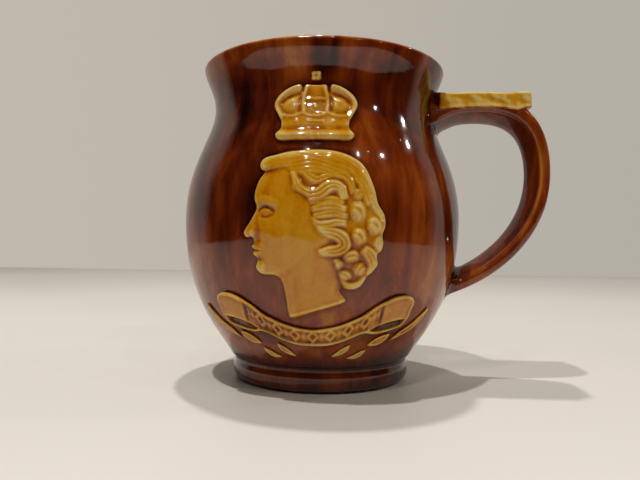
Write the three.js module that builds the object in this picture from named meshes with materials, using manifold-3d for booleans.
// A pot-bellied earthenware mug with a crowned portrait, a ribbon and leaves in low relief on its
// front, and a loop handle under a flat thumb rest. Millimetres, +Z up, the front faces -Y.
// The body is slip-cast; the relief pieces are press-moulded sprigs, and these and the handle are
// luted on with slip. The origin is the middle of the whole mug's footprint, on the table.

import * as THREE from 'three';
import { mergeVertices } from 'three/addons/utils/BufferGeometryUtils.js';
import Module from 'manifold-3d';

const wasm = await Module();
wasm.setup();

// Body
const MUG_HEIGHT = 110;
const BELLY_RADIUS = 49.3;
const BELLY_HEIGHT = 56;
const NECK_RADIUS = 39.5;
const NECK_HEIGHT = 95;
const LIP_RADIUS = 43.4;
const LIP_THICKNESS = 3.4;
const LIP_LEAN = THREE.MathUtils.degToRad(30);
const WALL = 4;
const FLOOR_THICKNESS = 4.6;

// How far each wall curve runs straight at its start and at its end, as shares of its rise
const BOWL_PULL = [0.205, 0.583];
const SHOULDER_PULL = [0.502, 0.26];
const FLARE_PULL = [0.16, 0.4];

// Foot
const FOOT_RADIUS = 31.5;
const FOOT_ROUNDING = 3.2;
const FOOT_BAND_HEIGHT = 6.4;
const FOOT_GROOVE_HEIGHT = 2.8;
const BOWL_OVERHANG = 1;
const BOWL_LEAN = THREE.MathUtils.degToRad(58.7);
const CONTACT_WIDTH = 3.4;
const RECESS_DEPTH = 1.6;
const RECESS_SLOPE = 2;

// Handle
const HANDLE_REACH = 77.6;
const HANDLE_REACH_HEIGHT = 73.3;
const HANDLE_CROWN_HEIGHT = 96.95;
const HANDLE_CROWN_OFFSET = 15.5;
const HANDLE_TOP_JOIN_DROP = 6;
const HANDLE_FOOT_HEIGHT = 32;
const HANDLE_FOOT_RISE = THREE.MathUtils.degToRad(16.4);
const STRAP_WIDTH = 18;
const STRAP_THICKNESS = 4.9;
const STRAP_INNER_ROUNDING = 1.2;
const STRAP_OUTER_ROUNDING = 2.1;
const STRAP_CAMBER = 0.5;
const STRAP_INNER_CAMBER = 1.3;
const SPUR_SWELL = 1.15;
const SPUR_SHARE = 0.5;
const JOIN_FLARE = 1.8;
const JOIN_FLARE_LENGTH = 7;

// How far each handle curve runs straight at its start and at its end, as shares of its span
const RISE_PULL = [0.6, 0.7];
const REACH_PULL = [0.33, 0.95];
const RETURN_PULL = [0.447, 0.65];

// Thumb rest
const THUMB_RISE = 5.1;
const THUMB_END_BACKSET = 4.4;
const THUMB_WIDTH = 18;
const THUMB_EDGE_ROUNDING = 0.8;

// Sprigs: how far each stands out of the clay, at its edge and in its middle
const SPRIG_EDGE = 0.9;
const CROWN_RELIEF = 1.7;
const ORB_RELIEF = 1.3;
const PORTRAIT_RELIEF = 2.6;
const RIBBON_RELIEF = 1.5;
const LEAF_RELIEF = 1.1;
const ROLL_RELIEF = 0.7;

const CROWN_WIDTH = 25.8;
const CROWN_HEIGHT = 17.8;
const CROWN_BASE_HEIGHT = 78;
const ORB_SIZE = 2.9;
const ORB_GAP = 1.2;
const HEAD_HEIGHT = 36.6;
const HEAD_SQUARES = 36;
const CHIN_HEIGHT = 38.4;
const RIBBON_HALF_LENGTH = 30.9;
const RIBBON_WIDTH = 5.3;
const RIBBON_LOW_HEIGHT = 16.6;
const RIBBON_HEIGHT = 15.6;
const LEAF_WIDTH = 1.7;
const BROAD_LEAF_WIDTH = 1.55 * LEAF_WIDTH;
const TAIL_WIDTH = 1.3 * LEAF_WIDTH;

// Slip joint left between two pieces
const JOINT_GAP = 0.3;

// Fineness of the facets
const TURN_STEPS = 40;
const BOWL_STEPS = 8;
const SHOULDER_STEPS = 7;
const FLARE_STEPS = 4;
const LIP_STEPS = 6;
const LOOP_STEPS = [5, 12, 11];

const treacleGlaze = new THREE.MeshStandardMaterial({ color: 0x4a1702, roughness: 0.1, metalness: 0 });
const ochreGlaze = new THREE.MeshStandardMaterial({ color: 0xb87a14, roughness: 0.12, metalness: 0 });

const point = (x, y) => new THREE.Vector2(x, y);
const smooth = (x) => THREE.MathUtils.smoothstep(x, 0, 1);

// Closed solid from a geometry whose corners are shared once and whose flat slivers are dropped
function solid(geometry) {
  const bare = geometry.clone();
  bare.deleteAttribute('normal');
  bare.deleteAttribute('uv');
  const merged = mergeVertices(bare, 1e-4);
  const corners = merged.index.array;
  const kept = [];
  for (let i = 0; i < corners.length; i += 3) {
    const [a, b, c] = [corners[i], corners[i + 1], corners[i + 2]];
    if (a !== b && b !== c && c !== a) kept.push(a, b, c);
  }
  return new wasm.Manifold(new wasm.Mesh({
    numProp: 3,
    vertProperties: new Float32Array(merged.attributes.position.array),
    triVerts: new Uint32Array(kept),
  }));
}

function namedMesh(name, body, material) {
  const { vertProperties, triVerts } = body.getMesh();
  const geometry = new THREE.BufferGeometry();
  geometry.setAttribute('position', new THREE.BufferAttribute(new Float32Array(vertProperties), 3));
  geometry.setIndex(new THREE.BufferAttribute(new Uint32Array(triVerts), 1));
  geometry.computeVertexNormals();
  const mesh = new THREE.Mesh(geometry, material);
  mesh.name = name;
  return mesh;
}

// Outer wall, from the foot to the lip, as three curves that flow into each other
const contactRadius = FOOT_RADIUS - FOOT_ROUNDING;
const bowlFoot = point(FOOT_RADIUS + BOWL_OVERHANG, FOOT_BAND_HEIGHT + FOOT_GROOVE_HEIGHT);
const bowlRise = BELLY_HEIGHT - bowlFoot.y;
const shoulderRise = NECK_HEIGHT - BELLY_HEIGHT;
const lipCentre = point(LIP_RADIUS - LIP_THICKNESS / 2, MUG_HEIGHT - LIP_THICKNESS / 2);
const lipFoot = point(
  lipCentre.x + (LIP_THICKNESS / 2) * Math.cos(LIP_LEAN),
  lipCentre.y - (LIP_THICKNESS / 2) * Math.sin(LIP_LEAN),
);
const flareRise = lipFoot.y - NECK_HEIGHT;

const bowlStart = BOWL_PULL[0] * bowlRise;
const bowlCurve = new THREE.CubicBezierCurve(
  bowlFoot,
  point(bowlFoot.x + bowlStart * Math.cos(BOWL_LEAN), bowlFoot.y + bowlStart * Math.sin(BOWL_LEAN)),
  point(BELLY_RADIUS, BELLY_HEIGHT - BOWL_PULL[1] * bowlRise),
  point(BELLY_RADIUS, BELLY_HEIGHT),
);
const shoulderCurve = new THREE.CubicBezierCurve(
  point(BELLY_RADIUS, BELLY_HEIGHT),
  point(BELLY_RADIUS, BELLY_HEIGHT + SHOULDER_PULL[0] * shoulderRise),
  point(NECK_RADIUS, NECK_HEIGHT - SHOULDER_PULL[1] * shoulderRise),
  point(NECK_RADIUS, NECK_HEIGHT),
);
const flareEnd = FLARE_PULL[1] * flareRise;
const flareCurve = new THREE.CubicBezierCurve(
  point(NECK_RADIUS, NECK_HEIGHT),
  point(NECK_RADIUS, NECK_HEIGHT + FLARE_PULL[0] * flareRise),
  point(lipFoot.x - flareEnd * Math.sin(LIP_LEAN), lipFoot.y - flareEnd * Math.cos(LIP_LEAN)),
  lipFoot,
);

const footOutline = [point(contactRadius, 0)];
for (const turn of [0.33, 0.67, 1]) {
  const angle = (turn * Math.PI) / 2;
  footOutline.push(point(
    contactRadius + FOOT_ROUNDING * Math.sin(angle),
    FOOT_ROUNDING * (1 - Math.cos(angle)),
  ));
}
footOutline.push(point(FOOT_RADIUS, FOOT_BAND_HEIGHT));

const wallCurves = [[bowlCurve, BOWL_STEPS], [shoulderCurve, SHOULDER_STEPS], [flareCurve, FLARE_STEPS]];

// Points of the wall, moved inward by a thickness that may change from the foot to the lip
function wallPoints(inset) {
  const points = [];
  wallCurves.forEach(([curve, steps], part) => {
    for (let i = part === 0 ? 0 : 1; i <= steps; i += 1) {
      const at = curve.getPoint(i / steps);
      const along = curve.getTangent(i / steps);
      const depth = typeof inset === 'function' ? inset(at.y) : inset;
      points.push(point(at.x - along.y * depth, at.y + along.x * depth));
    }
  });
  return points;
}

const outerWall = [...footOutline, ...wallPoints(0)];

function radiusAt(height) {
  for (let i = 1; i < outerWall.length; i += 1) {
    const [low, high] = [outerWall[i - 1], outerWall[i]];
    if (height <= high.y) return low.x + ((high.x - low.x) * (height - low.y)) / (high.y - low.y);
  }
  return LIP_RADIUS;
}

function turned(outline) {
  return solid(new THREE.LatheGeometry(outline, TURN_STEPS).rotateX(Math.PI / 2));
}

function makeBody() {
  const floorTop = RECESS_DEPTH + FLOOR_THICKNESS;
  const recessRadius = contactRadius - CONTACT_WIDTH;
  const underside = [
    point(0, RECESS_DEPTH),
    point(recessRadius - RECESS_SLOPE, RECESS_DEPTH),
    point(recessRadius, 0),
  ];

  const lip = [];
  for (let i = 1; i < LIP_STEPS; i += 1) {
    const angle = -LIP_LEAN + (i / LIP_STEPS) * Math.PI;
    lip.push(point(
      lipCentre.x + (LIP_THICKNESS / 2) * Math.cos(angle),
      lipCentre.y + (LIP_THICKNESS / 2) * Math.sin(angle),
    ));
  }

  // The inside follows the outside down to the turn of the bowl, then runs in to the floor
  const thickness = (height) => WALL + (LIP_THICKNESS - WALL) * smooth((height - NECK_HEIGHT) / flareRise);
  const turnHeight = floorTop + 2.2 * WALL;
  const inside = wallPoints(thickness).reverse().filter((at) => at.y > turnHeight);
  const [above, last] = inside.slice(-2);
  const fall = last.clone().sub(above).normalize().multiplyScalar(0.5 * turnHeight);
  const floorCurve = new THREE.CubicBezierCurve(
    last,
    last.clone().add(fall),
    point(0.6 * last.x, floorTop),
    point(0, floorTop),
  );
  return turned([...underside, ...outerWall, ...lip, ...inside, ...floorCurve.getPoints(6).slice(1)]);
}

// Everything inside the outer wall, grown by a clearance, to seat the pieces that are luted on it
function wallCore(clearance) {
  const skin = [...footOutline.map((at) => point(at.x + clearance, at.y)), ...wallPoints(-clearance)];
  const top = skin[skin.length - 1];
  const above = MUG_HEIGHT + LIP_THICKNESS;
  const below = -LIP_THICKNESS;
  return turned([point(0, below), point(skin[0].x, below), ...skin, point(top.x, above), point(0, above)]);
}

const seat = wallCore(JOINT_GAP);

// Handle centre line in the XZ plane: up out of the neck, over the crown, round the reach and down
const crownReach = NECK_RADIUS + HANDLE_CROWN_OFFSET;
const topJoin = point(NECK_RADIUS - WALL, HANDLE_CROWN_HEIGHT - HANDLE_TOP_JOIN_DROP);
const footJoin = point(radiusAt(HANDLE_FOOT_HEIGHT) - WALL, HANDLE_FOOT_HEIGHT);
const loopSpan = HANDLE_REACH - crownReach;
const loopDrop = HANDLE_REACH_HEIGHT - HANDLE_FOOT_HEIGHT;
const riseCurve = new THREE.CubicBezierCurve(
  topJoin,
  point(topJoin.x + RISE_PULL[0] * HANDLE_CROWN_OFFSET, topJoin.y + RISE_PULL[1] * HANDLE_TOP_JOIN_DROP),
  point(crownReach - RISE_PULL[0] * HANDLE_CROWN_OFFSET, HANDLE_CROWN_HEIGHT),
  point(crownReach, HANDLE_CROWN_HEIGHT),
);
const reachCurve = new THREE.CubicBezierCurve(
  point(crownReach, HANDLE_CROWN_HEIGHT),
  point(crownReach + REACH_PULL[0] * loopSpan, HANDLE_CROWN_HEIGHT),
  point(HANDLE_REACH, HANDLE_REACH_HEIGHT + REACH_PULL[1] * (HANDLE_CROWN_HEIGHT - HANDLE_REACH_HEIGHT)),
  point(HANDLE_REACH, HANDLE_REACH_HEIGHT),
);
const footPull = RETURN_PULL[1] * (HANDLE_REACH - footJoin.x);
const footWay = point(Math.cos(HANDLE_FOOT_RISE), Math.sin(HANDLE_FOOT_RISE));
const returnCurve = new THREE.CubicBezierCurve(
  point(HANDLE_REACH, HANDLE_REACH_HEIGHT),
  point(HANDLE_REACH, HANDLE_REACH_HEIGHT - RETURN_PULL[0] * loopDrop),
  footJoin.clone().addScaledVector(footWay, footPull),
  footJoin,
);
const loopCurves = [riseCurve, reachCurve, returnCurve];

// Section of the strap: full and rounded towards the fingers, nearly flat outside.
// Each point holds its place across the strap's thickness and across its width.
function strapSection(halfThickness, halfWidth, swell) {
  const innerHalf = halfWidth - STRAP_INNER_ROUNDING;
  const half = [0, 0.35, 0.7].map((share) => (
    point(-halfThickness - STRAP_INNER_CAMBER * (1 - share ** 2), share * innerHalf)
  ));
  const corner = (centre, rounding, from, steps) => {
    for (let i = 0; i <= steps; i += 1) {
      const angle = from + (i / steps) * (Math.PI / 2);
      half.push(point(centre.x - rounding * Math.cos(angle), centre.y + rounding * Math.sin(angle)));
    }
  };
  corner(
    point(-halfThickness + STRAP_INNER_ROUNDING, halfWidth - STRAP_INNER_ROUNDING),
    STRAP_INNER_ROUNDING, 0, 2,
  );
  corner(
    point(halfThickness + swell - STRAP_OUTER_ROUNDING, halfWidth - STRAP_OUTER_ROUNDING),
    STRAP_OUTER_ROUNDING, Math.PI / 2, 3,
  );
  half.push(point(halfThickness + swell + STRAP_CAMBER, 0));
  const other = half.slice(1, -1).reverse().map((at) => point(at.x, -at.y));
  return [...half, ...other];
}

// The loop thickens outward under the end of the thumb rest, and thins again along its back
function spurSwell(share) {
  if (share < SPUR_SHARE) return SPUR_SWELL * smooth((share - 0.7 * SPUR_SHARE) / (0.3 * SPUR_SHARE));
  return SPUR_SWELL * (1 - (share - SPUR_SHARE) / (1 - SPUR_SHARE)) ** 1.8;
}

function strap(clearance) {
  const rings = [];
  loopCurves.forEach((curve, part) => {
    const steps = LOOP_STEPS[part];
    for (let i = part === 0 ? 0 : 1; i <= steps; i += 1) {
      const share = i / steps;
      const at = curve.getPoint(share);
      const along = curve.getTangent(share);
      const stand = Math.max(at.x - radiusAt(at.y), 0);
      const flare = JOIN_FLARE * Math.max(1 - stand / JOIN_FLARE_LENGTH, 0) ** 2;
      const swell = curve === reachCurve ? spurSwell(share) : 0;
      const section = strapSection(STRAP_THICKNESS / 2 + clearance, STRAP_WIDTH / 2 + flare + clearance, swell);
      rings.push(section.map((s) => new THREE.Vector3(at.x - along.y * s.x, s.y, at.y + along.x * s.x)));
    }
  });
  const spans = rings.length - 1;
  const count = rings[0].length;
  const corners = rings.flat();
  const faces = [];
  for (let i = 0; i < spans; i += 1) {
    for (let j = 0; j < count; j += 1) {
      const [a, b] = [i * count + j, i * count + ((j + 1) % count)];
      const [c, d] = [a + count, b + count];
      faces.push(a, b, c, b, d, c);
    }
  }
  const end = spans * count;
  for (let j = 1; j < count - 1; j += 1) {
    faces.push(0, j + 1, j);
    faces.push(end, end + j, end + j + 1);
  }
  const geometry = new THREE.BufferGeometry().setFromPoints(corners);
  geometry.setIndex(faces);
  return solid(geometry);
}

// Flat rest over the loop: level on top, square at its end, shaped below to the loop that it lies on
function makeThumbRest() {
  const endReach = HANDLE_REACH - THUMB_END_BACKSET;
  const top = HANDLE_CROWN_HEIGHT + THUMB_RISE;
  const outline = new THREE.Shape();
  outline.moveTo(topJoin.x, top);
  riseCurve.getPoints(6).forEach((at) => outline.lineTo(at.x, at.y));
  reachCurve.getPoints(10).filter((_, i) => i > 0 && i <= 10 * SPUR_SHARE)
    .forEach((at) => outline.lineTo(at.x, at.y));
  outline.lineTo(endReach, HANDLE_CROWN_HEIGHT - STRAP_THICKNESS);
  outline.lineTo(endReach, top);
  outline.closePath();
  const block = new THREE.ExtrudeGeometry(outline, {
    depth: THUMB_WIDTH - 2 * THUMB_EDGE_ROUNDING,
    bevelThickness: THUMB_EDGE_ROUNDING,
    bevelSize: THUMB_EDGE_ROUNDING,
    bevelOffset: -THUMB_EDGE_ROUNDING,
    bevelSegments: 2,
  });
  block.rotateX(Math.PI / 2).translate(0, THUMB_WIDTH / 2 - THUMB_EDGE_ROUNDING, 0);
  return solid(block).subtract(strap(JOINT_GAP)).subtract(seat);
}

// Place on or above the wall: distance round the wall at the given turning radius, height, standoff
function onWall(across, height, turning, radius) {
  const azimuth = across / turning;
  return new THREE.Vector3(radius * Math.sin(azimuth), -radius * Math.cos(azimuth), height);
}

// Closed shell between an inner and an outer sheet that share one rim
function shell(outer, inner, rim, faces) {
  const shift = outer.length;
  const all = [...faces];
  for (let i = 0; i < faces.length; i += 3) {
    all.push(faces[i] + shift, faces[i + 2] + shift, faces[i + 1] + shift);
  }
  rim.forEach((a, i) => {
    const b = rim[(i + 1) % rim.length];
    all.push(a, a + shift, b, b, a + shift, b + shift);
  });
  const geometry = new THREE.BufferGeometry().setFromPoints([...outer, ...inner]);
  geometry.setIndex(all);
  return solid(geometry);
}

// A sprig: the outline gives its edge, and relief(across, height, edge distance) its standoff
function sprig(outline, relief, cell) {
  const box = new THREE.Box2().setFromPoints(outline);
  const size = box.getSize(point(0, 0));
  const turning = radiusAt(box.getCenter(point(0, 0)).y);
  const deep = (height) => radiusAt(height) - WALL;
  const clear = 0.3 * BELLY_RADIUS;

  const cutter = shell(
    outline.map((at) => onWall(at.x, at.y, turning, radiusAt(at.y) + clear)),
    outline.map((at) => onWall(at.x, at.y, turning, deep(at.y))),
    outline.map((_, i) => i),
    THREE.ShapeUtils.triangulateShape(outline, []).flat(),
  );

  const columns = Math.ceil(size.x / cell) + 2;
  const rows = Math.ceil(size.y / cell) + 2;
  const outer = [];
  const inner = [];
  for (let j = 0; j <= rows; j += 1) {
    for (let i = 0; i <= columns; i += 1) {
      const across = box.min.x + (i - 1) * cell;
      const height = box.min.y + (j - 1) * cell;
      const stand = relief(across, height, pathDistance(across, height, outline, true));
      outer.push(onWall(across, height, turning, radiusAt(height) + stand));
      inner.push(onWall(across, height, turning, deep(height)));
    }
  }
  const stride = columns + 1;
  const faces = [];
  for (let j = 0; j < rows; j += 1) {
    for (let i = 0; i < columns; i += 1) {
      const a = j * stride + i;
      faces.push(a, a + 1, a + stride + 1, a, a + stride + 1, a + stride);
    }
  }
  const rim = [];
  for (let i = 0; i < columns; i += 1) rim.push(i);
  for (let j = 0; j < rows; j += 1) rim.push(j * stride + columns);
  for (let i = columns; i > 0; i -= 1) rim.push(rows * stride + i);
  for (let j = rows; j > 0; j -= 1) rim.push(j * stride);
  return cutter.intersect(shell(outer, inner, rim, faces)).subtract(seat);
}

// Distance from a place to a chain of points
function pathDistance(across, height, path, closed) {
  const place = point(across, height);
  const count = closed ? path.length : path.length - 1;
  let nearest = Infinity;
  for (let i = 0; i < count; i += 1) {
    const [a, b] = [path[i], path[(i + 1) % path.length]];
    const run = b.clone().sub(a);
    const share = THREE.MathUtils.clamp(place.clone().sub(a).dot(run) / run.lengthSq(), 0, 1);
    nearest = Math.min(nearest, place.distanceTo(a.clone().addScaledVector(run, share)));
  }
  return nearest;
}

// Standoff that rises from a sprig's edge to its full relief over a bevel
const crowned = (edge, relief, bevel) => SPRIG_EDGE + (relief - SPRIG_EDGE) * Math.sqrt(smooth(edge / bevel));

// Rounded roll along a chain of points
function roll(across, height, path, halfWidth, rise) {
  const off = pathDistance(across, height, path, false) / halfWidth;
  return off < 1 ? rise * (1 - off * off) : 0;
}

function dome(across, height, centre, radii, rise) {
  const off = ((across - centre.x) / radii.x) ** 2 + ((height - centre.y) / radii.y) ** 2;
  return off < 1 ? rise * (1 - off) : 0;
}

// Smooth closed outline through a few points
function roundOutline(points, count) {
  const places = points.map((at) => new THREE.Vector3(at.x, at.y, 0));
  const line = new THREE.CatmullRomCurve3(places, true, 'centripetal');
  return line.getPoints(count).slice(0, -1).map((at) => point(at.x, at.y));
}

// Crown: two bowed outer arches, a middle arch, a band and a base roll, alike on both sides.
// Its points are shares of its half width and of its height.
function makeCrown() {
  const place = (x, y) => point((x * CROWN_WIDTH) / 2, CROWN_BASE_HEIGHT + y * CROWN_HEIGHT);
  const right = [
    [0.4, 0.005], [0.76, 0.01], [0.845, 0.09], [0.79, 0.175], [0.755, 0.25], [0.785, 0.36], [0.885, 0.49],
    [0.98, 0.58], [1, 0.66], [0.94, 0.78], [0.83, 0.86], [0.65, 0.94], [0.37, 1],
  ];
  const left = right.slice().reverse().map(([x, y]) => [-x, y]);
  const placed = (path) => path.map(([x, y]) => place(x, y));
  const outline = roundOutline(placed([[0, 0], ...right, [0, 0.985], ...left]), 70);
  const half = CROWN_WIDTH / 2;
  const outerArch = placed([[0.4, 0.95], [0.7, 0.86], [0.88, 0.72], [0.9, 0.6], [0.8, 0.46], [0.72, 0.34]]);
  const middleArch = placed([[0.23, 0.97], [0.28, 0.7], [0.26, 0.44]]);
  const bandEdge = placed([[0, 0.42], [0.28, 0.45], [0.7, 0.38]]);
  const baseRoll = placed([[0, 0.08], [0.77, 0.09]]);
  const relief = (across, height, edge) => {
    const x = Math.abs(across);
    const rise = Math.max(
      roll(x, height, outerArch, 0.13 * half, ROLL_RELIEF),
      roll(x, height, middleArch, 0.1 * half, ROLL_RELIEF),
      roll(x, height, bandEdge, 0.08 * half, 0.6 * ROLL_RELIEF),
      roll(x, height, baseRoll, 0.12 * half, ROLL_RELIEF),
      dome(x, height, place(0.58, 0.6), point(0.22 * half, 0.2 * CROWN_HEIGHT), 0.7 * ROLL_RELIEF),
    );
    return crowned(edge, CROWN_RELIEF - ROLL_RELIEF, 0.1 * half) + rise;
  };
  return sprig(outline, relief, CROWN_WIDTH / 20);
}

// Small four-lobed cross over the crown
function makeOrb() {
  const middle = CROWN_BASE_HEIGHT + CROWN_HEIGHT + ORB_GAP + ORB_SIZE / 2;
  const outline = [];
  const lobes = 4;
  for (let i = 0; i < 4 * lobes; i += 1) {
    const angle = (i / (4 * lobes)) * 2 * Math.PI;
    const reach = (ORB_SIZE / 2) * (1 + 0.12 * Math.cos(lobes * (angle - Math.PI / lobes)));
    outline.push(point(reach * Math.cos(angle), middle + reach * Math.sin(angle)));
  }
  return sprig(outline, (across, height, edge) => crowned(edge, ORB_RELIEF, 0.3 * ORB_SIZE), ORB_SIZE / 5);
}

// Head and neck in profile, looking towards -X. The face is a plain classical one: its hairline,
// brow, nose base and chin are a third of a face apart, and its eye is half way up the head.
// A face place is in thirds of the face, forward of the brow line and above the chin. A hair place
// is in squares of a grid over the head: how far behind the middle, and how far below its top.
function makePortrait() {
  const square = HEAD_HEIGHT / HEAD_SQUARES;
  const third = 10.5 * square;
  const browLine = -16.8 * square;
  const face = (forward, up) => point(browLine - forward * third, CHIN_HEIGHT + up * third);
  const hairTop = CHIN_HEIGHT + HEAD_HEIGHT;
  const profile = [
    face(-0.16, 3.02), face(-0.03, 2.6), face(0.05, 2.12), face(-0.04, 1.84), face(0.14, 1.5),
    face(0.37, 1.16), face(0.32, 1.03), face(0.08, 0.99), face(0.05, 0.88), face(0.14, 0.77),
    face(0.04, 0.67), face(0.1, 0.57), face(-0.04, 0.4), face(0.03, 0.18), face(-0.14, 0),
    face(-0.5, -0.02),
  ];
  const hair = (across, drop) => point(across * square, hairTop - drop * square);
  const neck = [
    hair(-9.6, 38), hair(-8.4, 44), hair(-8.2, 48.6), hair(-7.4, 49.6), hair(1.9, 47.2), hair(10.4, 44.6),
    hair(10.7, 43.7), hair(8.8, 40.8),
  ];
  const curls = [
    hair(10.6, 40.4), hair(14.4, 39.6), hair(16.8, 36.9), hair(19.4, 34.2), hair(19.3, 31), hair(20.9, 28.6),
    hair(20.6, 24.8), hair(21.6, 21.6), hair(20.6, 17.8), hair(18.6, 12.8), hair(17, 7.6), hair(14.2, 3.4),
    hair(9.4, 1), hair(1.2, 0), hair(-7, 0.5), hair(-12.6, 1.6), hair(-15.4, 3.4), hair(-15.6, 5.6),
  ];
  const outline = roundOutline([...profile, ...neck, ...curls], 110);
  const front = (height) => -4.2 * square + 0.22 * Math.abs(height - hair(0, 13).y);
  const waves = [
    [hair(-8.8, 3.2), hair(-2, 2.4), hair(6, 3), hair(12, 6.2), hair(15.6, 11.4)],
    [hair(-4.2, 8), hair(-4, 12), hair(-1.4, 13.8), hair(3.4, 11.6), hair(7.6, 9.4), hair(9.6, 12)],
    [hair(0.8, 17.4), hair(4, 15.8), hair(8.4, 16.4)],
    [hair(0.4, 21.6), hair(4, 23), hair(8.4, 21.8)],
    [hair(2.8, 24.2), hair(8.2, 26.4), hair(9.6, 29), hair(2, 29.8)],
    [hair(12, 9.6), hair(13, 13), hair(15.6, 11.6)],
    [hair(12, 15.6), hair(11.4, 20.4), hair(15.4, 20), hair(14, 15.6)],
    [hair(11.8, 24), hair(14.4, 28), hair(16.4, 27.4)],
    [hair(17.4, 19), hair(18.6, 23.4), hair(20.8, 21.4)],
    [hair(9.6, 30), hair(12.6, 31.6), hair(18, 31.4), hair(18.6, 34.6)],
    [hair(6, 32.2), hair(9, 35), hair(10.6, 38), hair(15.4, 37.4)],
  ];
  const eye = face(-0.36, 1.75);
  const relief = (across, height, edge) => {
    const behindFace = smooth((across - front(height)) / (2 * square));
    const aboveNeck = smooth((height - hair(0, 41).y) / (3 * square));
    const cap = smooth((height - hair(0, 5.4).y) / (2 * square));
    const overEar = across > hair(6, 0).x || height > hair(0, 31).y ? 1 : 0;
    const hairRise = Math.max(behindFace * aboveNeck * overEar, cap);
    const wave = Math.max(...waves.map((path) => roll(across, height, path, 1.5 * square, ROLL_RELIEF)));
    const socket = dome(across, height, eye, point(0.34 * third, 0.26 * third), 0.5);
    const cheek = dome(across, height, face(-0.7, 1), point(0.7 * third, 0.8 * third), 0.5);
    const mouth = roll(across, height, [face(0.1, 0.67), face(-0.2, 0.66)], 0.12 * third, 0.4);
    return crowned(edge, PORTRAIT_RELIEF - ROLL_RELIEF, 0.4 * third) + 0.3 * hairRise + hairRise * wave
      + cheek - socket - mouth;
  };
  return sprig(outline, relief, HEAD_HEIGHT / 24);
}

// Ribbon that hangs in a curve; its two ends turn up, broaden and fold back under themselves.
// A place is a share of its half length and a share of its height above its lowest point.
const ribbonPlace = (x, y) => point(x * RIBBON_HALF_LENGTH, RIBBON_LOW_HEIGHT + y * RIBBON_HEIGHT);

function makeRibbon() {
  const middleWidth = RIBBON_WIDTH / RIBBON_HEIGHT;
  const lower = [[0.16, 0.02], [0.32, 0.1], [0.51, 0.26], [0.65, 0.24], [0.85, 0.31], [0.95, 0.38]];
  const end = [[0.985, 0.5], [0.99, 0.7], [1, 0.84], [0.97, 0.95], [0.91, 1], [0.8, 0.99]];
  const upper = [[0.69, 0.91], [0.58, 0.78], [0.48, 0.63], [0.37, 0.52], [0.24, 0.42]];
  const right = [...lower, ...end, ...upper];
  const left = right.slice().reverse().map(([x, y]) => [-x, y]);
  const places = [[0, 0], ...right, [0, middleWidth], ...left].map(([x, y]) => ribbonPlace(x, y));
  const border = 0.14 * RIBBON_WIDTH;
  const relief = (across, height, edge) => (
    crowned(edge, RIBBON_RELIEF, border) - 0.4 * smooth((edge - border) / border)
  );
  return sprig(roundOutline(places, 64), relief, RIBBON_WIDTH / 3);
}

// Leaf or ribbon tail: a stroke along a bent line, full in its middle and pointed at both ends
function makeStroke(path, width) {
  const line = new THREE.CatmullRomCurve3(path.map((at) => new THREE.Vector3(at.x, at.y, 0)));
  const steps = 10;
  const near = [];
  const off = [];
  for (let i = 0; i <= steps; i += 1) {
    const share = i / steps;
    const at = line.getPoint(share);
    const along = line.getTangent(share);
    const half = (width / 2) * (0.12 + 0.88 * Math.sin(Math.PI * share) ** 0.8);
    near.push(point(at.x + along.y * half, at.y - along.x * half));
    off.push(point(at.x - along.y * half, at.y + along.x * half));
  }
  const outline = [...near, ...off.reverse()];
  return sprig(outline, (across, height, edge) => crowned(edge, LEAF_RELIEF, 0.4 * width), 0.8 * width);
}

// Strokes under the ribbon's right half, in ribbon places; the left half mirrors them
const strokes = [
  ['leaf_inner', [[0.19, -0.23], [0.26, -0.15], [0.32, -0.06], [0.345, 0.01]], LEAF_WIDTH],
  ['leaf_middle', [[0.345, -0.275], [0.42, -0.245], [0.47, -0.18], [0.51, -0.11]], LEAF_WIDTH],
  ['leaf_outer', [[0.565, 0], [0.68, 0.09], [0.77, 0.21]], BROAD_LEAF_WIDTH],
  ['ribbon_tail', [[0.88, 0.08], [0.98, 0.21], [1.1, 0.33], [1.21, 0.53], [1.27, 0.7]], TAIL_WIDTH],
];

const mug = new THREE.Group();
const pieces = [
  ['body', makeBody(), treacleGlaze],
  ['handle_loop', strap(0).subtract(seat), treacleGlaze],
  ['thumb_rest', makeThumbRest(), ochreGlaze],
  ['crown_sprig', makeCrown(), ochreGlaze],
  ['orb_sprig', makeOrb(), ochreGlaze],
  ['portrait_sprig', makePortrait(), ochreGlaze],
  ['ribbon_sprig', makeRibbon(), ochreGlaze],
];
for (const [name, shares, width] of strokes) {
  const path = shares.map(([x, y]) => ribbonPlace(x, y));
  const mirror = path.map((at) => point(-at.x, at.y)).reverse();
  pieces.push([`${name}_right`, makeStroke(path, width), ochreGlaze]);
  pieces.push([`${name}_left`, makeStroke(mirror, width), ochreGlaze]);
}
for (const [name, body, material] of pieces) {
  mug.add(namedMesh(name, body, material));
}

// Bring the middle of the footprint to the origin
const extent = new THREE.Box3().setFromObject(mug);
const middle = extent.getCenter(new THREE.Vector3());
mug.position.set(-middle.x, -middle.y, 0);
mug.updateMatrixWorld(true);

const group = new THREE.Group();
group.add(mug);

export default group;
